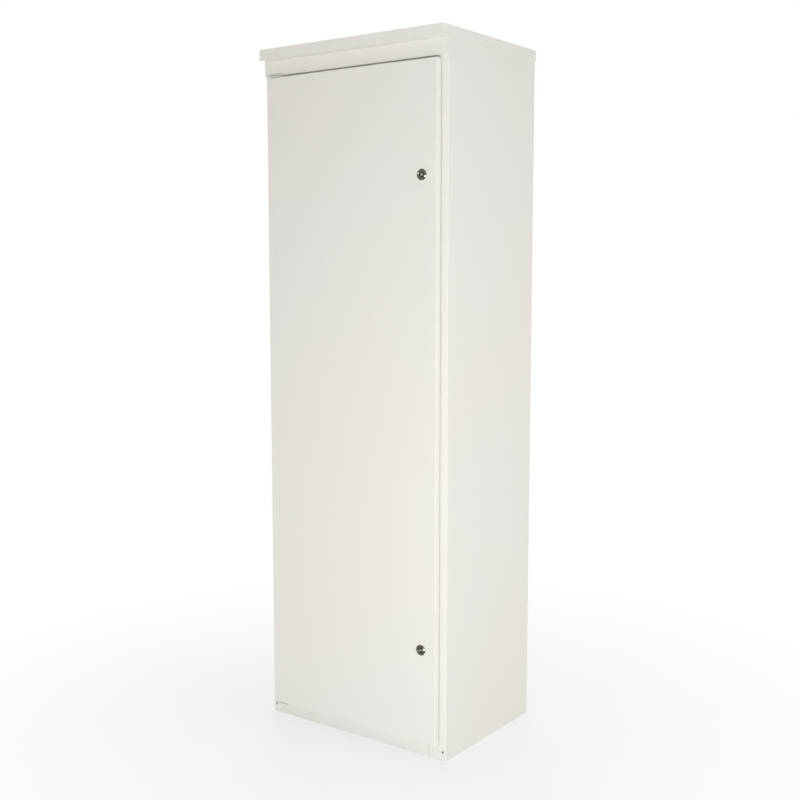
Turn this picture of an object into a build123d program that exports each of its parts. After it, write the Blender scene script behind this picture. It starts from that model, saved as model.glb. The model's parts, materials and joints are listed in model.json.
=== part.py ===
from build123d import *
import os
from math import cos, radians, sin

# Floor-standing electrical distribution cabinet, in millimetres.
# +Z is up, the door faces -Y, and the origin is under the middle of the base.

# Body
body_width = 600.0
body_depth = 422.0
overall_height = 1870.0
sheet = 1.5
bend_inside = 0.5
weld_gap = 1.0
overrun = 10.0

# Roof cap
eave_overhang = 26.0
roof_gap = 0.5
roof_lip = 30.0
eave_gap = 0.3

# Front frame
stile_width = 55.0
stile_return = 20.0
fascia_height = 71.0
fascia_proud = 6.0
rear_flange = 20.0
roof_flange = 25.0
base_flange = 50.0
corner_hole_radius = 3.0
corner_hole_inset = 9.5
corner_hole_height = 23.0

# Fixings of the base and the roof
anchor_radius = 6.5
anchor_inset = 25.0
anchor_front_setback = 69.0
anchor_rear_setback = 93.0
roof_bolt_radius = 3.0
roof_bolt_flats = 10.0
roof_bolt_head = 4.0
roof_bolt_spacing = 240.0
bolt_clearance = 0.4

# Gland plate and grommets
gland_plate_thickness = 2.0
gland_plate_lap = 10.0
gland_plate_setback = 20.0
grommet_count = 4
grommet_pitch = 100.0
grommet_neck = 24.0
grommet_flange = 28.0
grommet_flange_thickness = 1.2
grommet_height = 16.0
grommet_tip = 12.0
grommet_wall = 2.0
grommet_clearance = 0.2

# Door
door_inset = 20.0
door_depth = 18.0
door_top_gap = 6.0
door_base_gap = 40.0
door_flange_gap = 3.5
seal_space = 3.5
seal_clearance = 0.3
seal_margin = 5.0
seal_inset = 18.0
seal_corner = 8.0
stiffener_width = 50.0
stiffener_depth = 10.0
stiffener_foot = 14.0
stiffener_end_gap = 40.0
stiffener_height_shares = (0.34, 0.66)

# Door pivots
pivot_inset = 8.0
bush_gap = 1.0
pin_radius = 3.0
pin_reach = 11.0
pin_chamfer = 0.4
running_gap = 0.05
bush_radius = 5.0
bush_flange_radius = 7.0
bush_flange_thickness = 1.2
bush_length = 13.0
bracket_gap = 0.3
bracket_nose = 7.0
bracket_leaf_start = 11.0
bracket_leaf_end = 42.0
bracket_leaf_gap = 2.0

# Locks
lock_frame_gap = 0.5
upper_lock_drop = 281.0
lower_lock_rise = 254.0
lock_head_radius = 14.0
lock_head = 3.8
lock_bevel_shares = (0.55, 0.58)
lock_dish_shares = (0.30, 0.32)
lock_body_radius = 9.5
lock_reach = 2.5
lock_hole_clearance = 0.15
lock_nut_flats = 27.0
lock_nut_thickness = 5.0
core_radius = 7.5
key_well_radius = 6.0
key_well_depth = 5.0
key_stud_radius = 4.6
key_stud_recess = 0.8
shank_side = 8.0
shank_gap = 0.1
cam_thickness = 3.0
cam_gap = 0.3
cam_width = 18.0
cam_reach = 32.0
cam_slot_clearance = 1.0
cam_slot_end_clearance = 3.0
cam_screw_radius = 6.5
cam_screw_head = 3.5

# Mounting plate
plate_thickness = 2.5
plate_side_gap = 50.0
plate_base_gap = 150.0
plate_roof_gap = 160.0
plate_edge = 15.0
plate_standoff = 30.0
stud_radius = 4.0
stud_sleeve_radius = 8.0
stud_reach = 12.0
stud_inset = 25.0
stud_edge_gap = 50.0
stud_support_gap = 133.0
stud_hole_clearance = 0.5
nut_flats = 13.0
nut_thickness = 6.5
nut_clearance = 0.1

# Breakers
pole_count = 3
pocket_plane = 52.0
pad_thickness = 4.0
pad_gap = 1.0
pocket_width_share = 0.72
pad_width_share = 0.60
shoulder_share = 0.80
nose_height_share = 0.44
nose_width_share = 0.94
breaker_round = 2.0
base_share = 0.42
cover_inset = 0.8
escutcheon_border = 4.0
escutcheon_proud = 2.5

main_width = 140.0
main_height = 255.0
main_depth = 110.0
main_drop = 210.0
main_pocket = 36.0
main_well_width = 36.0
main_well_height = 44.0
main_pivot_depth = 26.0
main_hub_radius = 10.0
main_blade_width = 28.0
main_blade_thickness = 12.0
main_blade_reach = 30.0

feeder_width = 90.0
feeder_height = 155.0
feeder_depth = 82.0
feeder_count = 4
feeder_gap = 15.0
feeder_drop = 910.0
feeder_pocket = 24.0
feeder_well_width = 26.0
feeder_well_height = 34.0
feeder_pivot_depth = 20.0
feeder_hub_radius = 7.5
feeder_blade_width = 20.0
feeder_blade_thickness = 9.0
feeder_blade_reach = 22.0

toggle_swing = 36.0
toggle_taper = 3.0
trunnion_radius = 2.5
trunnion_reach = 4.0
toggle_side_gap = 0.4
well_floor_gap = 1.0

# Busbars and links
bar_width = 30.0
bar_thickness = 6.0
bar_end_gap = 3.0
bar_drop = 485.0
bar_pitch = 60.0
bar_step = 20.0
support_width = 30.0
support_gap = 3.5
support_margin = 12.0
link_thickness = 5.0
feed_width = 25.0
tap_width = 18.0
joggle_height = 42.0
link_bend = 3.0
joint_hole_radius = 4.5

# Neutral bar, earth bar and cable clamp rail
rail_end_gap = 35.0
lower_row_shares = (0.28, 0.51, 0.86)
neutral_standoff = 40.0
insulator_radius = 15.0
insulator_waist = 12.0
insulator_rib = 8.0
insulator_rib_count = 3
earth_standoff = 20.0
post_side = 24.0
rail_support_inset = 40.0
bar_hole_radius = 4.5
bar_hole_pitch = 30.0
bar_hole_count = 10
clamp_rail_height = 40.0
clamp_rail_depth = 22.0
clamp_rail_lip = 9.0
clamp_rail_sheet = 2.0
clamp_rail_bend = 2.5

# Planes and edges that the pieces share
bend_outside = sheet + bend_inside
bracket_leaf_height = seal_inset - bracket_leaf_gap
bracket_thickness = door_top_gap - bush_flange_thickness - bend_outside - bracket_gap
half_width = body_width / 2
cap_reach = roof_gap + sheet
frame_y = (eave_overhang - body_depth - cap_reach) / 2
rear_y = frame_y + body_depth
rear_panel_y = rear_y - sheet
rear_panel_half = half_width - sheet - weld_gap
fascia_y = frame_y - fascia_proud
fascia_bottom = overall_height - fascia_height
body_top = overall_height - sheet
opening_half = half_width - stile_width
door_half = half_width - door_inset
door_top = fascia_bottom - door_top_gap
door_bottom = door_base_gap
door_overlap = stile_width - door_inset
opening_top = door_top - door_overlap
opening_bottom = door_bottom + door_overlap
door_back_y = frame_y - seal_space
door_front_y = door_back_y - door_depth
skin_y = door_front_y + sheet
pivot_x = pivot_inset - door_half
pivot_y = skin_y + bush_gap + bush_radius
lock_x = opening_half - max(lock_body_radius, cam_width / 2) - lock_frame_gap
door_flange = door_half - lock_x - lock_body_radius - door_flange_gap
seal_width = door_overlap - seal_inset - seal_margin
lock_body_length = door_depth + seal_space + lock_reach
lock_ring = lock_head_radius - core_radius - running_gap
lock_bevel, lock_bevel_rise = lock_bevel_shares[0] * lock_ring, lock_bevel_shares[1] * lock_head
lock_dish, core_recess = lock_dish_shares[0] * lock_ring, lock_dish_shares[1] * lock_head
lock_heights = {"upper": door_top - upper_lock_drop, "lower": door_bottom + lower_lock_rise}
cam_y = door_front_y + lock_body_length + cam_gap
plate_back_y = rear_panel_y - sheet - plate_standoff
plate_y = plate_back_y - plate_thickness
plate_half = half_width - plate_side_gap
plate_top = overall_height - plate_roof_gap
stud_x = plate_half - stud_inset
side_flange_span = (frame_y + stile_return + weld_gap, rear_panel_y - base_flange - weld_gap)
pad_y = plate_y - pocket_plane - pad_thickness
main_z = plate_top - main_drop
feeder_z = plate_top - feeder_drop
feeder_pitch = feeder_width + feeder_gap
feeder_places = [(i - (feeder_count - 1) / 2) * feeder_pitch for i in range(feeder_count)]
outer_tap = feeder_places[-1] + feeder_width / pole_count + tap_width / 2
support_x = outer_tap + support_gap + support_width / 2
bar_half = support_x + support_width / 2 + bar_end_gap
bar_heights = [plate_top - bar_drop - i * bar_pitch for i in range(pole_count)]
bar_fronts = [pad_y - i * bar_step for i in range(pole_count)]
support_high = bar_heights[0] + bar_pitch / 2 + support_margin
support_low = bar_heights[-1] - bar_pitch / 2 - support_margin
pole_sides = [i - (pole_count - 1) / 2 for i in range(pole_count)]
feeder_low = feeder_z - feeder_height / 2
neutral_z, earth_z, clamp_rail_z = [
    feeder_low - share * (feeder_low - plate_base_gap) for share in lower_row_shares
]
anchor_rows = (frame_y + anchor_front_setback, rear_y - anchor_rear_setback)
both_sides = (-1, 1)

os.makedirs("parts", exist_ok=True)


def slab(x_span, y_span, z_span, mode=Mode.ADD):
    """Adds or cuts a box that fills three spans of the cabinet's axes."""
    spans = [sorted(span) for span in (x_span, y_span, z_span)]
    middle = tuple(sum(span) / 2 for span in spans)
    with Locations(middle):
        Box(*[high - low for low, high in spans], mode=mode)


def about(middle, size):
    """Gives the span of a size about its middle."""
    return middle - size / 2, middle + size / 2


def facing_front(x, y, z):
    """Gives a plane at a point that looks out of the door, with +X and +Z in it."""
    return Plane(origin=(x, y, z), x_dir=(1, 0, 0), z_dir=(0, -1, 0))


def drill(places):
    """Cuts bolt holes through the copper at the given places, along the cabinet's depth."""
    with Locations(*places):
        Cylinder(joint_hole_radius, 2 * overrun, rotation=(90, 0, 0), mode=Mode.SUBTRACT)


def save(piece, name):
    """Labels a finished piece and writes it."""
    piece.label = name
    export_step(piece, f"parts/{name}.step")


# Side panels: wall, rear flange, front stile and its return are one folded sheet.
def make_side_panel(side, slotted):
    wall_x = side * half_width
    outline = [
        (wall_x - side * rear_flange, rear_y),
        (wall_x, rear_y),
        (wall_x, frame_y),
        (side * opening_half, frame_y),
        (side * opening_half, frame_y + stile_return),
    ]
    with BuildPart() as panel:
        with BuildSketch(Plane.XY):
            with BuildLine():
                FilletPolyline(*outline, radius=bend_outside)
                offset(amount=sheet, side=Side.RIGHT if side > 0 else Side.LEFT)
            make_face()
        extrude(amount=body_top)
        inner_face = wall_x - side * sheet
        slab((inner_face, wall_x - side * base_flange), side_flange_span, (0, sheet))
        slab((inner_face, wall_x - side * roof_flange), side_flange_span, (body_top - sheet, body_top))
        anchor_x = wall_x - side * anchor_inset
        with Locations(*[(anchor_x, y, 0) for y in anchor_rows]):
            Cylinder(anchor_radius, overrun, mode=Mode.SUBTRACT)
        bolt_x = wall_x - side * roof_flange / 2
        with Locations(*[(bolt_x, end * roof_bolt_spacing / 2, body_top) for end in both_sides]):
            Cylinder(roof_bolt_radius + bolt_clearance, overrun, mode=Mode.SUBTRACT)
        with Locations((wall_x - side * corner_hole_inset, frame_y, corner_hole_height)):
            Cylinder(corner_hole_radius, overrun, rotation=(90, 0, 0), mode=Mode.SUBTRACT)
        for height in slotted:
            slab(
                about(side * opening_half, overrun),
                (cam_y - cam_slot_clearance, cam_y + cam_thickness + cam_slot_clearance),
                (
                    height - cam_reach - cam_slot_end_clearance,
                    height + cam_width / 2 + cam_slot_end_clearance,
                ),
                mode=Mode.SUBTRACT,
            )
    return panel.part


save(make_side_panel(-1, []), "left_side_panel")
save(make_side_panel(1, lock_heights.values()), "right_side_panel")

# Rear panel: welded inside the rear flanges, folded in at roof and base.
with BuildPart() as rear_panel:
    with BuildSketch(Plane.YZ):
        with BuildLine():
            FilletPolyline(
                (rear_panel_y - base_flange, 0),
                (rear_panel_y, 0),
                (rear_panel_y, body_top),
                (rear_panel_y - roof_flange, body_top),
                radius=bend_outside,
            )
            offset(amount=sheet, side=Side.LEFT)
        make_face()
    extrude(amount=rear_panel_half, both=True)
save(rear_panel.part, "rear_panel")

# Top rail: the fascia stands proud of the stiles, and steps back behind the door's upper edge.
with BuildPart() as top_rail:
    with BuildSketch(Plane.YZ):
        with BuildLine():
            FilletPolyline(
                (fascia_y + roof_flange, body_top),
                (fascia_y, body_top),
                (fascia_y, fascia_bottom),
                (frame_y, fascia_bottom),
                (frame_y, opening_top),
                (frame_y + stile_return, opening_top),
                radius=bend_outside,
            )
            offset(amount=sheet, side=Side.LEFT)
        make_face()
    extrude(amount=half_width, both=True)
    for side in both_sides:
        slab(
            (side * opening_half, side * (half_width + overrun)),
            (frame_y, rear_y),
            (opening_top - overrun, overall_height),
            mode=Mode.SUBTRACT,
        )
        slab(
            (side * (half_width - sheet), side * half_width),
            (fascia_y + sheet / 2, frame_y),
            (fascia_bottom + sheet / 2, body_top - sheet / 2),
        )
save(top_rail.part, "top_rail")

# Bottom rail: fills the front between the stiles under the door opening.
with BuildPart() as bottom_rail:
    with BuildSketch(Plane.YZ):
        with BuildLine():
            FilletPolyline(
                (frame_y + base_flange, 0),
                (frame_y, 0),
                (frame_y, opening_bottom),
                (frame_y + stile_return, opening_bottom),
                radius=bend_outside,
            )
            offset(amount=sheet, side=Side.RIGHT)
        make_face()
    extrude(amount=opening_half, both=True)
save(bottom_rail.part, "bottom_rail")

# Roof cap: a folded tray whose front lip turns back under the eave.
with BuildPart() as roof_cap:
    cap_half = half_width + cap_reach
    cap_front_y = frame_y - eave_overhang
    lip_bottom = overall_height - roof_lip
    slab((-cap_half, cap_half), (cap_front_y, rear_y + cap_reach), (lip_bottom, overall_height))
    folds = roof_cap.edges().filter_by(Axis.Z) + roof_cap.edges().group_by(Axis.Z)[-1]
    fillet(list(set(folds)), radius=bend_outside)
    slab(
        (sheet - cap_half, cap_half - sheet),
        (cap_front_y + sheet, rear_y + roof_gap),
        (lip_bottom - overrun, body_top),
        mode=Mode.SUBTRACT,
    )
    slab(
        (sheet / 2 - cap_half, cap_half - sheet / 2),
        (cap_front_y + sheet / 2, fascia_y - eave_gap),
        (lip_bottom, lip_bottom + sheet),
    )
save(roof_cap.part, "roof_cap")

# Roof bolts: driven up through the side panels' roof flanges.
with BuildPart() as roof_bolts:
    under_flange = body_top - sheet
    for side in both_sides:
        for end in both_sides:
            place = (side * (half_width - roof_flange / 2), end * roof_bolt_spacing / 2, under_flange)
            with BuildSketch(Plane(origin=place)):
                RegularPolygon(roof_bolt_flats / 2, side_count=6, major_radius=False)
            extrude(amount=-roof_bolt_head)
            with BuildSketch(Plane(origin=place)):
                Circle(roof_bolt_radius)
            extrude(amount=sheet)
save(roof_bolts.part, "roof_bolts")

# Gland plate: closes the base, lying on the base flanges.
grommet_y = (frame_y + rear_panel_y) / 2
grommet_places = [
    ((i - (grommet_count - 1) / 2) * grommet_pitch, grommet_y, sheet) for i in range(grommet_count)
]
with BuildPart() as gland_plate:
    lap_half = half_width - base_flange + gland_plate_lap
    slab(
        (-lap_half, lap_half),
        (frame_y + base_flange - gland_plate_setback, rear_panel_y - base_flange + gland_plate_setback),
        (sheet, sheet + gland_plate_thickness),
    )
    with Locations(*grommet_places):
        Cylinder(grommet_neck + grommet_clearance, overrun, mode=Mode.SUBTRACT)
save(gland_plate.part, "gland_plate")

# Grommets: blind rubber cones, buttoned into the gland plate.
with BuildPart() as grommet:
    with BuildSketch(Plane.XZ):
        plate_top_face = gland_plate_thickness
        with BuildLine():
            Polyline(
                (0, grommet_height),
                (grommet_tip, grommet_height),
                (grommet_neck, plate_top_face + grommet_flange_thickness),
                (grommet_flange, plate_top_face + grommet_flange_thickness),
                (grommet_flange, plate_top_face),
                (grommet_neck, plate_top_face),
                (grommet_neck, 0),
                (grommet_flange, 0),
                (grommet_flange, -grommet_flange_thickness),
                (grommet_neck - grommet_wall, -grommet_flange_thickness),
                (grommet_neck - grommet_wall, plate_top_face),
                (grommet_tip - grommet_wall, grommet_height - grommet_wall),
                (0, grommet_height - grommet_wall),
                close=True,
            )
        make_face()
    revolve(axis=Axis.Z)
with BuildPart() as cable_grommets:
    with Locations(*grommet_places):
        add(grommet.part)
save(cable_grommets.part, "cable_grommets")

# Frame seal: a flat ring that the door's folded edge presses on.
with BuildPart() as frame_seal:
    seal_span = (frame_y - seal_space + seal_clearance, frame_y)
    seal_half = door_half - seal_inset
    slab((-seal_half, seal_half), seal_span, (door_bottom + seal_inset, door_top - seal_inset))
    fillet(frame_seal.edges().filter_by(Axis.Y), radius=seal_corner)
    slab(
        (seal_width - seal_half, seal_half - seal_width),
        (seal_span[0] - overrun, frame_y + overrun),
        (door_bottom + seal_inset + seal_width, door_top - seal_inset - seal_width),
        mode=Mode.SUBTRACT,
    )
save(frame_seal.part, "frame_seal")

# Door: a pan folded back on four sides, with its edges turned in again behind.
with BuildPart() as door_panel:
    slab((-door_half, door_half), (door_front_y, door_back_y), (door_bottom, door_top))
    front_edges = door_panel.edges().group_by(Axis.Y)[0]
    fillet(front_edges + door_panel.edges().filter_by(Axis.Y), radius=bend_outside)
    slab(
        (sheet - door_half, door_half - sheet),
        (skin_y, door_back_y - sheet),
        (door_bottom + sheet, door_top - sheet),
        mode=Mode.SUBTRACT,
    )
    slab(
        (door_flange - door_half, door_half - door_flange),
        (skin_y, door_back_y + overrun),
        (door_bottom + door_flange, door_top - door_flange),
        mode=Mode.SUBTRACT,
    )
    with Locations((pivot_x, pivot_y, door_bottom), (pivot_x, pivot_y, door_top)):
        Cylinder(bush_radius + running_gap, overrun, mode=Mode.SUBTRACT)
    with Locations(*[(lock_x, door_front_y, height) for height in lock_heights.values()]):
        Cylinder(
            lock_body_radius + lock_hole_clearance, overrun, rotation=(90, 0, 0), mode=Mode.SUBTRACT
        )
save(door_panel.part, "door_panel")


# Door stiffeners: hat sections welded across the inside of the door's skin.
def make_stiffener(height):
    low, high = about(height, stiffener_width)
    ridge_y = skin_y + stiffener_depth
    with BuildPart() as stiffener:
        with BuildSketch(Plane.YZ):
            with BuildLine():
                FilletPolyline(
                    (skin_y, low - stiffener_foot),
                    (skin_y, low),
                    (ridge_y, low),
                    (ridge_y, high),
                    (skin_y, high),
                    (skin_y, high + stiffener_foot),
                    radius=bend_outside,
                )
                offset(amount=sheet, side=Side.RIGHT)
            make_face()
        extrude(amount=door_half - stiffener_end_gap, both=True)
    return stiffener.part


for name, share in zip(("lower", "upper"), stiffener_height_shares):
    save(make_stiffener(door_bottom + share * (door_top - door_bottom)), f"{name}_door_stiffener")


# Door pivots: a bracket on the frame carries a pin that turns in a bush in the door's edge.
def make_bracket(edge, outward):
    near = edge + outward * bush_flange_thickness
    far = near + outward * bracket_thickness
    leaf_span = (pivot_x + bracket_leaf_start, pivot_x + bracket_leaf_end)
    with BuildPart() as bracket:
        with BuildSketch(Plane.XY.offset(min(near, far))):
            with Locations((pivot_x, pivot_y)):
                Circle(bracket_nose)
            with BuildLine():
                Polyline(
                    (pivot_x, pivot_y - bracket_nose),
                    (leaf_span[1], pivot_y - bracket_nose),
                    (leaf_span[1], frame_y),
                    (pivot_x, frame_y),
                    close=True,
                )
            make_face()
            with Locations((pivot_x, pivot_y)):
                Circle(pin_radius + running_gap, mode=Mode.SUBTRACT)
        extrude(amount=bracket_thickness)
        slab(leaf_span, (frame_y - bracket_thickness, frame_y), (far, edge - outward * bracket_leaf_height))
    return bracket.part


def make_pin(edge, outward):
    outer = edge + outward * (bush_flange_thickness + bracket_thickness)
    inner = edge - outward * pin_reach
    with BuildPart() as pin:
        with BuildSketch(Plane.XY.offset(min(outer, inner))):
            with Locations((pivot_x, pivot_y)):
                Circle(pin_radius)
        extrude(amount=abs(outer - inner))
        chamfer(pin.edges().sort_by(Axis.Z), length=pin_chamfer)
    return pin.part


def make_bush(edge, outward):
    with BuildPart() as bush:
        with BuildSketch(Plane.XY.offset(edge)):
            with Locations((pivot_x, pivot_y)):
                Circle(bush_radius)
        extrude(amount=-outward * bush_length)
        with BuildSketch(Plane.XY.offset(edge)):
            with Locations((pivot_x, pivot_y)):
                Circle(bush_flange_radius)
        extrude(amount=outward * bush_flange_thickness)
        with Locations((pivot_x, pivot_y, edge)):
            Cylinder(pin_radius + running_gap, (bush_length + overrun) * 2, mode=Mode.SUBTRACT)
    return bush.part


for name, edge, outward in (("upper", door_top, 1), ("lower", door_bottom, -1)):
    save(make_bracket(edge, outward), f"{name}_pivot_bracket")
    save(make_pin(edge, outward), f"{name}_pivot_pin")
    save(make_bush(edge, outward), f"{name}_pivot_bush")


# Locks: a round housing clamped by a nut, with a core that turns the cam behind the frame's return.
def make_lock_housing(height):
    face = facing_front(lock_x, door_front_y, height)
    with BuildPart() as housing:
        with BuildSketch(face):
            Circle(lock_head_radius)
        extrude(amount=lock_head)
        front = housing.faces().sort_by(Axis.Y)[0]
        chamfer(front.edges(), length=lock_bevel, length2=lock_bevel_rise, reference=front)
        with BuildSketch(face):
            Circle(lock_body_radius)
        extrude(amount=-lock_body_length)
        with BuildSketch(face.offset(lock_head)):
            Circle(core_radius + running_gap)
        extrude(amount=-(lock_head + lock_body_length), mode=Mode.SUBTRACT)
        rim = housing.faces().sort_by(Axis.Y)[0]
        mouth = rim.edges().sort_by(SortBy.RADIUS)[0]
        chamfer(mouth, length=lock_dish, length2=core_recess, reference=rim)
    return housing.part


def make_lock_nut(height):
    with BuildPart() as nut:
        with BuildSketch(facing_front(lock_x, skin_y, height)):
            RegularPolygon(lock_nut_flats / 2, side_count=6, major_radius=False)
            Circle(lock_body_radius + lock_hole_clearance, mode=Mode.SUBTRACT)
        extrude(amount=-lock_nut_thickness)
    return nut.part


def make_lock_core(height):
    face = facing_front(lock_x, door_front_y, height).offset(lock_head - core_recess)
    barrel = lock_head - core_recess + lock_body_length
    with BuildPart() as core:
        with BuildSketch(face):
            Circle(core_radius)
        extrude(amount=-barrel)
        with BuildSketch(face):
            Circle(key_well_radius)
        extrude(amount=-key_well_depth, mode=Mode.SUBTRACT)
        with BuildSketch(face.offset(-key_well_depth)):
            RegularPolygon(key_stud_radius, side_count=3)
        extrude(amount=key_well_depth - key_stud_recess)
        with BuildSketch(face.offset(-barrel)):
            Rectangle(shank_side, shank_side)
        extrude(amount=-(cam_gap + cam_thickness))
    return core.part


def make_lock_cam(height):
    with BuildPart() as cam:
        with BuildSketch(facing_front(lock_x, cam_y, height)):
            arm = cam_reach - cam_width / 2
            with Locations((0, -arm / 2)):
                SlotCenterToCenter(arm, cam_width, rotation=90)
            Rectangle(shank_side + 2 * shank_gap, shank_side + 2 * shank_gap, mode=Mode.SUBTRACT)
        extrude(amount=-cam_thickness)
    return cam.part


def make_cam_screw(height):
    with BuildPart() as screw:
        with BuildSketch(facing_front(lock_x, cam_y + cam_thickness, height)):
            Circle(cam_screw_radius)
        extrude(amount=-cam_screw_head)
        chamfer(screw.edges().sort_by(Axis.Y)[-1], length=cam_screw_head / 4)
    return screw.part


for name, height in lock_heights.items():
    save(make_lock_housing(height), f"{name}_lock_housing")
    save(make_lock_nut(height), f"{name}_lock_nut")
    save(make_lock_core(height), f"{name}_lock_core")
    save(make_lock_cam(height), f"{name}_lock_cam")
    save(make_cam_screw(height), f"{name}_lock_cam_screw")

# Mounting plate: a sheet with its sides folded back, carried on studs from the rear panel.
stud_levels = (plate_base_gap + stud_edge_gap, support_low - stud_support_gap, plate_top - stud_edge_gap)
stud_places = [(side * stud_x, level) for side in both_sides for level in stud_levels]
with BuildPart() as mounting_plate:
    with BuildSketch(Plane.XY.offset(plate_base_gap)):
        with BuildLine():
            FilletPolyline(
                (-plate_half, plate_y + plate_edge),
                (-plate_half, plate_y),
                (plate_half, plate_y),
                (plate_half, plate_y + plate_edge),
                radius=plate_thickness + bend_inside,
            )
            offset(amount=plate_thickness, side=Side.LEFT)
        make_face()
    extrude(amount=plate_top - plate_base_gap)
    with Locations(*[(x, plate_y, z) for x, z in stud_places]):
        Cylinder(stud_radius + stud_hole_clearance, overrun, rotation=(90, 0, 0), mode=Mode.SUBTRACT)
save(mounting_plate.part, "mounting_plate")

with BuildPart() as plate_studs:
    for x, z in stud_places:
        with BuildSketch(facing_front(x, rear_panel_y - sheet, z)):
            Circle(stud_sleeve_radius)
        extrude(amount=plate_standoff)
        with BuildSketch(facing_front(x, plate_back_y, z)):
            Circle(stud_radius)
        extrude(amount=plate_thickness + stud_reach)
save(plate_studs.part, "plate_studs")

with BuildPart() as plate_nuts:
    for x, z in stud_places:
        with BuildSketch(facing_front(x, plate_y, z)):
            RegularPolygon(nut_flats / 2, side_count=6, major_radius=False)
            Circle(stud_radius + nut_clearance, mode=Mode.SUBTRACT)
        extrude(amount=nut_thickness)
save(plate_nuts.part, "plate_nuts")


# Breakers: a moulded case with a raised nose, pole pockets at both ends and a well for the toggle.
def make_breaker_housing(x, z, width, height, depth, pocket, well_width, well_height, well_depth, pivot_y):
    joint_y = plate_y - depth * base_share
    shoulder_y = plate_y - depth * shoulder_share
    nose_y = plate_y - depth
    pole = width / pole_count
    with BuildPart() as housing:
        slab(about(x, width), (joint_y, plate_y), about(z, height))
        slab(about(x, width - 2 * cover_inset), (shoulder_y, joint_y), about(z, height - 2 * cover_inset))
        fillet(housing.edges().filter_by(Axis.Y), radius=breaker_round)
        slab(about(x, width * nose_width_share), (nose_y, shoulder_y), about(z, height * nose_height_share))
        fillet(housing.edges().group_by(Axis.Y)[0], radius=breaker_round)
        slab(
            about(x, well_width + 2 * escutcheon_border),
            (nose_y - escutcheon_proud, nose_y),
            about(z, well_height + 2 * escutcheon_border),
        )
        for end in both_sides:
            for i in pole_sides:
                slab(
                    about(x + i * pole, pole * pocket_width_share),
                    (shoulder_y - overrun, plate_y - pocket_plane),
                    (z + end * (height / 2 - pocket), z + end * (height / 2 + overrun)),
                    mode=Mode.SUBTRACT,
                )
        slab(
            about(x, well_width),
            (nose_y - overrun, nose_y + well_depth),
            about(z, well_height),
            mode=Mode.SUBTRACT,
        )
        with Locations((x, pivot_y, z)):
            Cylinder(
                trunnion_radius + running_gap,
                well_width + 2 * (trunnion_reach + toggle_side_gap),
                rotation=(0, 90, 0),
                mode=Mode.SUBTRACT,
            )
    return housing.part


def make_toggle(x, z, pivot_y, hub_radius, hub_width, blade_width, blade_thickness, blade_length):
    tilt = radians(toggle_swing / 2)
    blade_plane = Plane(origin=(x, pivot_y, z), x_dir=(1, 0, 0), z_dir=(0, -cos(tilt), sin(tilt)))
    with BuildPart() as toggle:
        with Locations((x, pivot_y, z)):
            Cylinder(hub_radius, hub_width, rotation=(0, 90, 0))
            Cylinder(trunnion_radius, hub_width + 2 * trunnion_reach, rotation=(0, 90, 0))
        with BuildSketch(blade_plane):
            RectangleRounded(blade_width, blade_thickness, blade_thickness / 4)
        extrude(amount=blade_length, taper=toggle_taper)
    return toggle.part


def make_pads(x, z, width, height, pocket):
    pole = width / pole_count
    with BuildPart() as pads:
        for end in both_sides:
            for i in pole_sides:
                slab(
                    about(x + i * pole, pole * pad_width_share),
                    (pad_y, plate_y - pocket_plane),
                    (z + end * (height / 2 - pocket + pad_gap), z + end * (height / 2 - pad_gap)),
                )
        middles = [z + end * (height - pocket) / 2 for end in both_sides]
        drill([(x + i * pole, pad_y, middle) for i in pole_sides for middle in middles])
    return pads.part


main_pivot_y = plate_y - main_depth + main_pivot_depth
save(
    make_breaker_housing(
        0,
        main_z,
        main_width,
        main_height,
        main_depth,
        main_pocket,
        main_well_width,
        main_well_height,
        main_pivot_depth + main_hub_radius + well_floor_gap,
        main_pivot_y,
    ),
    "main_breaker_housing",
)
save(
    make_toggle(
        0,
        main_z,
        main_pivot_y,
        main_hub_radius,
        main_well_width - 2 * toggle_side_gap,
        main_blade_width,
        main_blade_thickness,
        main_pivot_depth + main_blade_reach,
    ),
    "main_breaker_toggle",
)
save(make_pads(0, main_z, main_width, main_height, main_pocket), "main_breaker_terminals")

feeder_pivot_y = plate_y - feeder_depth + feeder_pivot_depth
for number, x in enumerate(feeder_places, start=1):
    save(
        make_breaker_housing(
            x,
            feeder_z,
            feeder_width,
            feeder_height,
            feeder_depth,
            feeder_pocket,
            feeder_well_width,
            feeder_well_height,
            feeder_pivot_depth + feeder_hub_radius + well_floor_gap,
            feeder_pivot_y,
        ),
        f"outgoing_breaker_{number}_housing",
    )
    save(
        make_toggle(
            x,
            feeder_z,
            feeder_pivot_y,
            feeder_hub_radius,
            feeder_well_width - 2 * toggle_side_gap,
            feeder_blade_width,
            feeder_blade_thickness,
            feeder_pivot_depth + feeder_blade_reach,
        ),
        f"outgoing_breaker_{number}_toggle",
    )
with BuildPart() as outgoing_terminals:
    for x in feeder_places:
        add(make_pads(x, feeder_z, feeder_width, feeder_height, feeder_pocket))
save(outgoing_terminals.part, "outgoing_terminals")

# Phase busbars: each lower bar stands one step further forward than the one above.
for number, (front, height, side) in enumerate(zip(bar_fronts, bar_heights, pole_sides), start=1):
    taps = [x + side * feeder_width / pole_count for x in feeder_places]
    bolted = [-support_x, *taps, side * main_width / pole_count, support_x]
    with BuildPart() as busbar:
        slab((-bar_half, bar_half), (front, front + bar_thickness), about(height, bar_width))
        drill([(x, front, height) for x in bolted])
    save(busbar.part, f"phase_{number}_busbar")


# Busbar supports: stepped insulators that carry the three bars.
def make_support(side):
    middle = side * support_x
    with BuildPart() as support:
        for front, height in zip(bar_fronts, bar_heights):
            slab(
                about(middle, support_width),
                (front + bar_thickness, plate_y),
                (height - bar_pitch / 2, height + bar_pitch / 2),
            )
        slab(
            about(middle, support_width + 2 * support_margin),
            (plate_y - support_margin, plate_y),
            (support_low, support_high),
        )
    return support.part


save(make_support(-1), "left_busbar_support")
save(make_support(1), "right_busbar_support")


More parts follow.
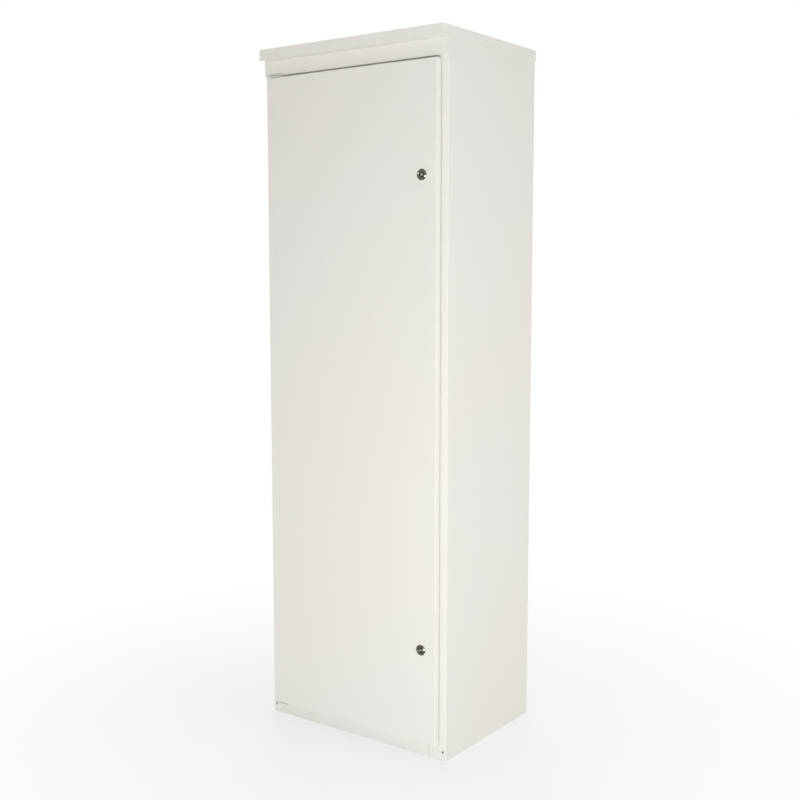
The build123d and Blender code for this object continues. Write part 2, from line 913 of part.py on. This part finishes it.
# Links: flat copper that lies on a pad at one end and on its bar at the other, with a joggle between.
def add_link(x, width, start, joggle_middle, finish, bolts):
    (start_y, start_z), (finish_y, finish_z) = start, finish
    with BuildSketch(Plane.YZ.offset(x)) as profile:
        with BuildLine():
            if start_y == finish_y:
                Line(start, finish)
            else:
                FilletPolyline(
                    start,
                    (start_y, joggle_middle + joggle_height / 2),
                    (finish_y, joggle_middle - joggle_height / 2),
                    finish,
                    radius=link_bend + link_thickness,
                )
            offset(amount=link_thickness, side=Side.RIGHT)
        make_face()
    extrude(profile.sketch, amount=width / 2, both=True)
    drill([(x, start_y, bolts[0]), (x, finish_y, bolts[1])])


main_low = main_z - main_height / 2
with BuildPart() as feed_links:
    for i, side in enumerate(pole_sides):
        add_link(
            side * main_width / pole_count,
            feed_width,
            (pad_y, main_low + main_pocket - pad_gap),
            (main_low + bar_heights[0] + bar_width / 2) / 2,
            (bar_fronts[i], bar_heights[i] - bar_width / 2),
            (main_low + main_pocket / 2, bar_heights[i]),
        )
save(feed_links.part, "feed_links")

feeder_high = feeder_z + feeder_height / 2
with BuildPart() as tap_links:
    for x in feeder_places:
        for i, side in enumerate(pole_sides):
            add_link(
                x + side * feeder_width / pole_count,
                tap_width,
                (bar_fronts[i], bar_heights[i] + bar_width / 2),
                (bar_heights[-1] - bar_width / 2 + feeder_high) / 2,
                (pad_y, feeder_high - feeder_pocket + pad_gap),
                (bar_heights[i], feeder_high - feeder_pocket / 2),
            )
save(tap_links.part, "tap_links")


# Neutral and earth bars: drilled copper, on insulators and on steel posts.
rail_half = plate_half - rail_end_gap
post_x = rail_half - rail_support_inset


def make_drilled_bar(height, standoff):
    with BuildPart() as bar:
        slab(
            (-rail_half, rail_half),
            (plate_y - standoff - bar_thickness, plate_y - standoff),
            about(height, bar_width),
        )
        holes = [(i - (bar_hole_count - 1) / 2) * bar_hole_pitch for i in range(bar_hole_count)]
        with Locations(*[(x, plate_y - standoff, height) for x in holes]):
            Cylinder(bar_hole_radius, 2 * overrun, rotation=(90, 0, 0), mode=Mode.SUBTRACT)
    return bar.part


save(make_drilled_bar(neutral_z, neutral_standoff), "neutral_bar")
save(make_drilled_bar(earth_z, earth_standoff), "earth_bar")

with BuildPart() as neutral_insulators:
    for side in both_sides:
        with BuildSketch(facing_front(side * post_x, plate_y, neutral_z)):
            Circle(insulator_waist)
        extrude(amount=neutral_standoff)
        for i in range(insulator_rib_count):
            rib_y = plate_y - i * (neutral_standoff - insulator_rib) / (insulator_rib_count - 1)
            with BuildSketch(facing_front(side * post_x, rib_y, neutral_z)):
                Circle(insulator_radius)
            extrude(amount=insulator_rib)
save(neutral_insulators.part, "neutral_insulators")

with BuildPart() as earth_posts:
    for side in both_sides:
        slab(
            about(side * post_x, post_side),
            (plate_y - earth_standoff, plate_y),
            about(earth_z, post_side),
        )
save(earth_posts.part, "earth_posts")

# Cable clamp rail: a C section across the foot of the mounting plate.
with BuildPart() as cable_clamp_rail:
    rail_low, rail_high = about(clamp_rail_z, clamp_rail_height)
    rail_y = plate_y - clamp_rail_depth
    with BuildSketch(Plane.YZ):
        with BuildLine():
            FilletPolyline(
                (rail_y, rail_low + clamp_rail_lip),
                (rail_y, rail_low),
                (plate_y, rail_low),
                (plate_y, rail_high),
                (rail_y, rail_high),
                (rail_y, rail_high - clamp_rail_lip),
                radius=clamp_rail_bend,
            )
            offset(amount=clamp_rail_sheet, side=Side.LEFT)
        make_face()
    extrude(amount=rail_half, both=True)
save(cable_clamp_rail.part, "cable_clamp_rail")
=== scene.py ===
import json
import math

import bmesh
import bpy
from mathutils import Matrix, Vector


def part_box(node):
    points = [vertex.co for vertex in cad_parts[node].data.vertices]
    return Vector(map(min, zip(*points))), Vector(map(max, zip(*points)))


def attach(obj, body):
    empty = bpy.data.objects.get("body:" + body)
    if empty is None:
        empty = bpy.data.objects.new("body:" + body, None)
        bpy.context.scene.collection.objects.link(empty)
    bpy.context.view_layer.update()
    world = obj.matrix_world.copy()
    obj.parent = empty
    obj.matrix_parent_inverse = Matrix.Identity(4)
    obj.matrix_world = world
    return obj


# Looks of a floor-standing electrical distribution cabinet, in metres, in the CAD model's own frame.

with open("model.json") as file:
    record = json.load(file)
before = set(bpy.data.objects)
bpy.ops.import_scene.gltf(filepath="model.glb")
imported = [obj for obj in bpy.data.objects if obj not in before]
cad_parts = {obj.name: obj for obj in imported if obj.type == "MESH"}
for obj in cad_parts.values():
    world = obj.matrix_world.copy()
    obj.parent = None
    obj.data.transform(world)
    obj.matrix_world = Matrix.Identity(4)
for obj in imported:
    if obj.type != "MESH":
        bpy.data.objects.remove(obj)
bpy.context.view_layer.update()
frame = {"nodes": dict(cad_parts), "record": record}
nodes = frame["nodes"]
scene = bpy.context.scene

# Bolts and screws that are added here: width across flats, or radius, and height of head.
busbar_bolt = (0.013, 0.0085)
main_bolt = (0.013, 0.008)
feeder_bolt = (0.010, 0.006)
row_bolt = (0.011, 0.007)
rail_bolt = (0.010, 0.007)
gland_bolt = (0.010, 0.006)
cover_screw = (0.0036, 0.0024)

# Where they sit: distances from the ends and edges of the solids that carry them.
main_bolt_inset = 0.017
feeder_bolt_inset = 0.011
gland_bolt_inset = 0.012
rail_bolt_reach = 0.175
row_bolt_count = 10
row_bolt_pitch = 0.030
cover_screw_shares = (0.41, 0.286)

# Marks for on and off, and how far from the middle of a breaker they stand.
on_size = 0.0036
off_size = 0.0034
mark_thickness = 0.0002
mark_shares = {"main_breaker": 0.135, **{f"outgoing_breaker_{i}": 0.178 for i in range(1, 5)}}

# Sizes of the solids that their boxes don't tell.
link_thickness = 0.005
rail_sheet = 0.002
post_radii = {"neutral_insulators": 0.015, "earth_posts": 0.012}
escutcheon_proud = 0.0025
shoulder_share = 0.80
key_well_depth = 0.005

# Points round a circle.
round_steps = 24
mark_steps = 48

both_sides = (-1, 1)
poles = (-1, 0, 1)
out = (0, -1, 0)
up = (0, 0, 1)


# Materials. Each builder makes a node tree on Blender's principled shader, in object coordinates.

class Tree:
    """A material's nodes, with short calls for the ones used here."""

    def __init__(self, name):
        self.material = bpy.data.materials.new(name)
        self.material.use_nodes = True
        self.nodes = self.material.node_tree.nodes
        self.links = self.material.node_tree.links
        self.shader = self.nodes["Principled BSDF"]
        self.place = self.nodes.new("ShaderNodeTexCoord").outputs["Object"]

    def set(self, **sockets):
        for name, value in sockets.items():
            self.shader.inputs[name.replace("_", " ")].default_value = value

    def scaled(self, stretch):
        mapping = self.nodes.new("ShaderNodeMapping")
        mapping.inputs["Scale"].default_value = stretch
        self.links.new(self.place, mapping.inputs["Vector"])
        return mapping.outputs["Vector"]

    def noise(self, scale, detail=2.0, stretch=None):
        node = self.nodes.new("ShaderNodeTexNoise")
        node.inputs["Scale"].default_value = scale
        node.inputs["Detail"].default_value = detail
        self.links.new(self.scaled(stretch) if stretch else self.place, node.inputs["Vector"])
        return node.outputs["Fac"]

    def cells(self, scale):
        node = self.nodes.new("ShaderNodeTexVoronoi")
        node.inputs["Scale"].default_value = scale
        self.links.new(self.place, node.inputs["Vector"])
        return node.outputs["Color"]

    def between(self, factor, low, high, start=0.3, stop=0.7):
        node = self.nodes.new("ShaderNodeMapRange")
        for name, value in (("From Min", start), ("From Max", stop), ("To Min", low), ("To Max", high)):
            node.inputs[name].default_value = value
        self.links.new(factor, node.inputs["Value"])
        return node.outputs["Result"]

    def ramp(self, factor, *stops):
        node = self.nodes.new("ShaderNodeValToRGB")
        while len(node.color_ramp.elements) < len(stops):
            node.color_ramp.elements.new(0.5)
        for element, (position, colour) in zip(node.color_ramp.elements, stops):
            element.position = position
            element.color = (*colour, 1.0)
        self.links.new(factor, node.inputs["Fac"])
        return node.outputs["Color"]

    def bump(self, height, strength, distance, below=None):
        node = self.nodes.new("ShaderNodeBump")
        node.inputs["Strength"].default_value = strength
        node.inputs["Distance"].default_value = distance
        self.links.new(height, node.inputs["Height"])
        if below:
            self.links.new(below, node.inputs["Normal"])
        return node.outputs["Normal"]

    def plug(self, **sockets):
        for name, output in sockets.items():
            self.links.new(output, self.shader.inputs[name.replace("_", " ")])


def shade(colour, factor):
    return tuple(min(1.0, c * factor) for c in colour)


def powder_coat(name, warm, cool):
    t = Tree(name)
    t.set(IOR=1.48, Specular_IOR_Level=0.4)
    broad = t.noise(1.6, 1.0)
    t.plug(Base_Color=t.ramp(broad, (0.30, warm), (0.70, cool)))
    peel = t.noise(700.0, 2.0)
    wave = t.noise(9.0, 1.0)
    t.plug(Roughness=t.between(t.noise(55.0, 3.0), 0.40, 0.50))
    t.plug(Normal=t.bump(peel, 0.10, 0.00025, t.bump(wave, 0.05, 0.0015)))
    return t.material


def zinc(name, colour):
    t = Tree(name)
    t.set(Metallic=1.0)
    spangle = t.cells(90.0)
    t.plug(Base_Color=t.ramp(spangle, (0.1, shade(colour, 0.86)), (0.9, shade(colour, 1.10))))
    t.plug(Roughness=t.between(t.noise(60.0, 4.0), 0.36, 0.56))
    t.plug(Normal=t.bump(t.noise(420.0, 3.0), 0.12, 0.0002))
    return t.material


def turned_metal(name, colour, rough, spin):
    """Metal turned on a lathe about the cabinet's depth, so that highlights fan out from its middle."""
    t = Tree(name)
    t.set(Metallic=1.0, Anisotropic=spin, Anisotropic_Rotation=0.25)
    t.plug(Base_Color=t.ramp(t.noise(260.0, 3.0), (0.3, shade(colour, 0.92)), (0.7, shade(colour, 1.04))))
    t.plug(Roughness=t.between(t.noise(900.0, 4.0), rough * 0.7, rough * 1.3))
    t.plug(Normal=t.bump(t.noise(1500.0, 2.0), 0.05, 0.0001))
    tangent = t.nodes.new("ShaderNodeTangent")
    tangent.direction_type = "RADIAL"
    tangent.axis = "Y"
    t.plug(Tangent=tangent.outputs["Tangent"])
    return t.material


def key_core_painted_light(name, front, floor, stud_highlight, well_shade):
    """Dull metal on a lock core's face, a painted highlight on the key stud just behind it, and painted
    shade darkening the key well.
    """
    t = Tree(name)
    t.set(Metallic=1.0)
    split = t.nodes.new("ShaderNodeSeparateXYZ")
    t.links.new(t.place, split.inputs["Vector"])
    depth = t.between(split.outputs["Y"], 0.0, 1.0, front, floor)
    face = shade(stud_highlight, 0.2)
    # The stud's pale band is a painted highlight, and the near-black colour down the well is painted shade.
    t.plug(Base_Color=t.ramp(depth, (0.06, face), (0.12, stud_highlight), (0.20, stud_highlight), (0.45, well_shade)))
    t.plug(Roughness=t.between(t.noise(900.0, 4.0), 0.22, 0.38))
    t.plug(Normal=t.bump(t.noise(1500.0, 2.0), 0.05, 0.0001))
    return t.material


def drawn_copper(name, colour):
    t = Tree(name)
    t.set(Metallic=1.0)
    tarnish = t.noise(28.0, 5.0)
    dull = (colour[0] * 0.62, colour[1] * 0.60, colour[2] * 0.58)
    t.plug(Base_Color=t.ramp(tarnish, (0.32, dull), (0.52, colour), (0.72, shade(colour, 1.08))))
    streaks = t.noise(160.0, 3.0, (1.0, 14.0, 14.0))
    t.plug(Roughness=t.between(streaks, 0.24, 0.46))
    t.plug(Normal=t.bump(streaks, 0.10, 0.0002))
    return t.material


def moulded(name, colour, rough, grain=900.0, depth=0.14):
    t = Tree(name)
    t.plug(Base_Color=t.ramp(t.noise(40.0, 3.0), (0.3, shade(colour, 0.88)), (0.7, shade(colour, 1.12))))
    t.plug(Roughness=t.between(t.noise(120.0, 3.0), rough - 0.07, rough + 0.07))
    t.plug(Normal=t.bump(t.noise(grain, 2.0), depth, 0.00025))
    return t.material


looks = {
    "body_paint": powder_coat("body_paint", (0.775, 0.758, 0.722), (0.770, 0.764, 0.742)),
    "galvanised_steel": zinc("galvanised_steel", (0.60, 0.61, 0.62)),
    "lock_chrome": turned_metal("lock_chrome", (0.130, 0.120, 0.100), 0.22, 0.75),
    "black_rubber": moulded("black_rubber", (0.022, 0.022, 0.023), 0.72, 500.0, 0.25),
    "white_plastic": moulded("white_plastic", (0.72, 0.72, 0.70), 0.42),
    "breaker_case": moulded("breaker_case", (0.065, 0.067, 0.072), 0.52),
    "breaker_toggle": moulded("breaker_toggle", (0.018, 0.018, 0.019), 0.36),
    "copper": drawn_copper("copper", (0.80, 0.42, 0.27)),
    "red_insulator": moulded("red_insulator", (0.36, 0.040, 0.026), 0.46),
}
for part in frame["record"]["subparts"]:
    solid = nodes[part["node"]].data
    solid.materials.clear()
    solid.materials.append(looks[part["material_slot"]])

# A lock core's colour changes by depth: dull at its face, a painted highlight on the key stud, and painted
# shade on the floor of its key well.
core_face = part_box("upper_lock_core")[0].y
looks["lock_core"] = key_core_painted_light(
    "lock_core", core_face, core_face + key_well_depth, (0.56, 0.545, 0.515), (0.020, 0.019, 0.017)
)
for name in ("upper", "lower"):
    nodes[f"{name}_lock_core"].data.materials[0] = looks["lock_core"]


# Fasteners and marks. Each group is one mesh that rides on the cabinet.

def circle(count, radius, height):
    """Gives points round a circle, or round another outline if the radius is a function of the angle."""
    turns = [math.tau * i / count for i in range(count)]
    radii = [radius(a) if callable(radius) else radius for a in turns]
    return [Vector((r * math.cos(a), r * math.sin(a), height)) for a, r in zip(turns, radii)]


def skin(mesh, place, normal, rings, hollow=False):
    """Joins rings of points that stand on a face. Ends are capped, or joined to each other if hollow."""
    turn = Vector(up).rotation_difference(Vector(normal)).to_matrix().to_4x4()
    base = Matrix.Translation(Vector(place)) @ turn
    loops = [[mesh.verts.new(base @ point) for point in ring] for ring in rings]
    pairs = list(zip(loops, loops[1:]))
    if hollow:
        pairs.append((loops[-1], loops[0]))
    else:
        mesh.faces.new(loops[-1])
        mesh.faces.new(list(reversed(loops[0])))
    for low, high in pairs:
        for i in range(len(low)):
            mesh.faces.new((low[i], low[i - 1], high[i - 1], high[i]))


def hex_bolt(mesh, place, normal, flats, height):
    """Adds a washer and a chamfered hexagon head."""
    corner = flats / math.sqrt(3)
    washer_shares = [(0.92, 0.0), (0.92, 0.16), (0.86, 0.22)]
    head_shares = [(1.0, 0.20), (1.0, 0.86), (0.88, 1.0)]
    skin(mesh, place, normal, [circle(round_steps, flats * r, height * z) for r, z in washer_shares])
    skin(mesh, place, normal, [circle(6, corner * r, height * z) for r, z in head_shares])


def socket_screw(mesh, place, normal, radius, height):
    """Adds a domed head with a hexagon socket."""
    socket_share, floor_share = 0.42, 0.3
    dome_shares = [(1.0, 0.0), (1.0, 0.45), (0.93, 0.72), (0.76, 0.92), (0.58, 1.0)]

    def hexagon(angle):
        return socket_share * radius / math.cos(angle % (math.pi / 3) - math.pi / 6)

    rings = [circle(round_steps, radius * r, height * z) for r, z in dome_shares]
    rings += [circle(round_steps, hexagon, z) for z in (height, height * floor_share)]
    skin(mesh, place, normal, rings)


def on_mark(mesh, place, normal, size):
    """Adds an upright bar with round ends."""
    width_share, least = 0.22, 1e-6

    def bar(angle):
        return min(width_share * size / max(abs(math.cos(angle)), least), size)

    skin(mesh, place, normal, [circle(mark_steps, bar, z) for z in (0.0, mark_thickness)])


def off_mark(mesh, place, normal, size):
    """Adds a ring."""
    hole_share = 0.66
    rings = [(1.0, 0.0), (1.0, mark_thickness), (hole_share, mark_thickness), (hole_share, 0.0)]
    skin(mesh, place, normal, [circle(mark_steps, size * r, z) for r, z in rings], hollow=True)


def group(name, slot, adder, places, normal, *sizes):
    mesh = bmesh.new()
    for place in places:
        adder(mesh, place, normal, *sizes)
    bmesh.ops.recalc_face_normals(mesh, faces=mesh.faces)
    data = bpy.data.meshes.new(name)
    mesh.to_mesh(data)
    mesh.free()
    data.materials.append(looks[slot])
    piece = bpy.data.objects.new(name, data)
    scene.collection.objects.link(piece)
    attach(piece, "cabinet")


def bolts(name, places, size, normal=out):
    group(name, "galvanised_steel", hex_bolt, places, normal, *size)


# Bolts where the links meet the busbars.
plate_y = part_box("mounting_plate")[0].y
feeders = [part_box(f"outgoing_breaker_{i}_housing") for i in range(1, 5)]
feeder_x = [((low + high) / 2).x for low, high in feeders]
feeder_pole = (feeders[0][1].x - feeders[0][0].x) / len(poles)
main_low, main_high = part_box("main_breaker_housing")
main_pole = (main_high.x - main_low.x) / len(poles)
bars = [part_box(f"phase_{i}_busbar") for i in range(1, 4)]
joints = []
for pole, (low, high) in zip(poles, bars):
    level = (low.z + high.z) / 2
    joints += [(x + pole * feeder_pole, low.y - link_thickness, level) for x in feeder_x]
    joints.append((pole * main_pole, low.y - link_thickness, level))
bolts("busbar_bolts", joints, busbar_bolt)

# Bolts in the breakers' terminals: with a link under the head towards the bars, and bare where cables go.
feeder_low, feeder_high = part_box("outgoing_terminals")
main_pad_low, main_pad_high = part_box("main_breaker_terminals")
pad_y = feeder_low.y
link_y = pad_y - link_thickness
feeder_poles = [x + pole * feeder_pole for x in feeder_x for pole in poles]
main_poles = [pole * main_pole for pole in poles]
line_end = [(x, link_y, feeder_high.z - feeder_bolt_inset) for x in feeder_poles]
load_end = [(x, pad_y, feeder_low.z + feeder_bolt_inset) for x in feeder_poles]
bolts("outgoing_line_bolts", line_end, feeder_bolt)
bolts("outgoing_load_bolts", load_end, feeder_bolt)
supply = [(x, pad_y, main_pad_high.z - main_bolt_inset) for x in main_poles]
feed = [(x, link_y, main_pad_low.z + main_bolt_inset) for x in main_poles]
bolts("main_terminal_bolts", supply + feed, main_bolt)

# Bolts that hold the busbars on their supports.
carriers = []
for side in ("left", "right"):
    low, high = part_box(f"{side}_busbar_support")
    x = (low.x + high.x) / 2
    carriers += [(x, bar_low.y, (bar_low.z + bar_high.z) / 2) for bar_low, bar_high in bars]
bolts("busbar_support_bolts", carriers, busbar_bolt)

# Bolts in the neutral and earth bars: one over each post, and a row between.
rows = []
for bar, post in (("neutral_bar", "neutral_insulators"), ("earth_bar", "earth_posts")):
    low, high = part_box(bar)
    level = (low.z + high.z) / 2
    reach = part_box(post)[1].x - post_radii[post]
    rows += [(side * reach, low.y, level) for side in both_sides]
    row_middle = (row_bolt_count - 1) / 2
    rows += [((i - row_middle) * row_bolt_pitch, low.y, level) for i in range(row_bolt_count)]
bolts("terminal_bar_bolts", rows, row_bolt)

# Screws in the breakers' covers, and the marks for on and off beside their toggles.
covers, ons, offs = [], [], []
for name, mark_share in mark_shares.items():
    low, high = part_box(f"{name}_housing")
    centre, size = (low + high) / 2, high - low
    nose_y = low.y + escutcheon_proud
    shoulder_y = plate_y - shoulder_share * (plate_y - nose_y)
    reach_x, reach_z = cover_screw_shares[0] * size.x, cover_screw_shares[1] * size.z
    for i in both_sides:
        covers += [(centre.x + i * reach_x, shoulder_y, centre.z + k * reach_z) for k in both_sides]
    ons.append((centre.x, nose_y, centre.z + mark_share * size.z))
    offs.append((centre.x, nose_y, centre.z - mark_share * size.z))
group("cover_screws", "galvanised_steel", socket_screw, covers, out, *cover_screw)
group("on_marks", "white_plastic", on_mark, ons, out, on_size)
group("off_marks", "white_plastic", off_mark, offs, out, off_size)

# Bolts that hold the clamp rail to the plate and the gland plate to the base.
low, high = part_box("cable_clamp_rail")
rail_y, rail_z = high.y - rail_sheet, (low.z + high.z) / 2
bolts("clamp_rail_bolts", [(i * rail_bolt_reach, rail_y, rail_z) for i in (-1, 0, 1)], rail_bolt)
low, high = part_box("gland_plate")
columns = (low.x + gland_bolt_inset, 0.0, high.x - gland_bolt_inset)
lines = (low.y + gland_bolt_inset, high.y - gland_bolt_inset)
bolts("gland_plate_bolts", [(x, y, high.z) for x in columns for y in lines], gland_bolt, up)


# Stage: a pale floor that fades to white away from the object, and a white world behind it.

def seen_directly(tree):
    """Gives 1 for rays from the camera, a mirror or glass, and 0 for the rays that light the object."""
    path = tree.nodes.new("ShaderNodeLightPath")
    seen = path.outputs["Is Camera Ray"]
    for kind in ("Is Glossy Ray", "Is Transmission Ray"):
        either = tree.nodes.new("ShaderNodeMath")
        either.operation = "MAXIMUM"
        tree.links.new(seen, either.inputs[0])
        tree.links.new(path.outputs[kind], either.inputs[1])
        seen = either.outputs["Value"]
    return seen


def mix(tree, factor, first, second, output):
    blend = tree.nodes.new("ShaderNodeMixShader")
    tree.links.new(factor, blend.inputs["Fac"])
    tree.links.new(first, blend.inputs[1])
    tree.links.new(second, blend.inputs[2])
    tree.links.new(blend.outputs["Shader"], tree.nodes[output].inputs["Surface"])


floor_size, floor_drop = 40.0, 0.0005
fade_start, fade_stop, fade_least = 0.3, 1.5, 0.64
bpy.ops.mesh.primitive_plane_add(size=floor_size, location=(0, 0, -floor_drop))
floor = bpy.context.object
floor.name = "floor"
paper = Tree("floor_paper")
paper.set(Roughness=0.9, Specular_IOR_Level=0.1)
pale, paler = (0.90, 0.90, 0.90), (0.93, 0.93, 0.93)
paper.plug(Base_Color=paper.ramp(paper.noise(6.0, 2.0), (0.3, pale), (0.7, paler)))
glow = paper.nodes.new("ShaderNodeEmission")
glow.inputs["Color"].default_value = (1, 1, 1, 1)
distance = paper.nodes.new("ShaderNodeVectorMath")
distance.operation = "LENGTH"
paper.links.new(paper.place, distance.inputs[0])
fade = paper.nodes.new("ShaderNodeMath")
fade.operation = "MULTIPLY"
away = paper.between(distance.outputs["Value"], fade_least, 1.0, fade_start, fade_stop)
paper.links.new(away, fade.inputs[0])
paper.links.new(seen_directly(paper), fade.inputs[1])
mix(paper, fade.outputs["Value"], paper.shader.outputs["BSDF"], glow.outputs["Emission"], "Material Output")
floor.data.materials.append(paper.material)

world = bpy.data.worlds.new("studio")
scene.world = world
world.use_nodes = True
sky = world.node_tree
ambient = sky.nodes["Background"]
ambient.inputs["Color"].default_value = (1.0, 0.972, 0.925, 1)
ambient.inputs["Strength"].default_value = 0.42
white = sky.nodes.new("ShaderNodeBackground")
white.inputs["Color"].default_value = (1, 1, 1, 1)
white.inputs["Strength"].default_value = 1.0
mix(sky, seen_directly(sky), ambient.outputs["Background"], white.outputs["Background"], "World Output")


def lamp(name, place, target, size, power, colour):
    data = bpy.data.lights.new(name, "AREA")
    data.size = size
    data.energy = power
    data.color = colour
    lit = bpy.data.objects.new(name, data)
    lit.location = place
    lit.rotation_euler = (Vector(target) - Vector(place)).to_track_quat("-Z", "Y").to_euler()
    scene.collection.objects.link(lit)


lamp("key", (1.9, -3.2, 0.30), (0.05, -0.15, 0.8), 0.8, 84.0, (1.0, 0.998, 0.995))
lamp("side_fill", (3.4, 0.6, 1.3), (0.3, 0.0, 0.9), 1.6, 25.0, (1.0, 0.995, 0.985))
lamp("top_fill", (0.0, 0.15, 4.2), (0.0, 0.0, 1.87), 1.2, 24.0, (1.0, 0.99, 0.97))
lamp("back_fill", (-2.6, 3.2, 1.4), (-0.1, 0.1, 0.9), 2.0, 70.0, (1.0, 0.99, 0.97))

# Camera: fitted to the photograph's outline, turned to the door and tilted down a little.
tilt, turn = 0.1140, 0.6308
eye = bpy.data.cameras.new("camera")
eye.sensor_width = 36.0
eye.lens = 51.74
camera = bpy.data.objects.new("camera", eye)
camera.location = (1.9006, -2.5927, 1.2808)
camera.rotation_euler = (math.pi / 2 - tilt, 0.0, turn)
scene.collection.objects.link(camera)
scene.camera = camera

scene.view_settings.view_transform = "Standard"
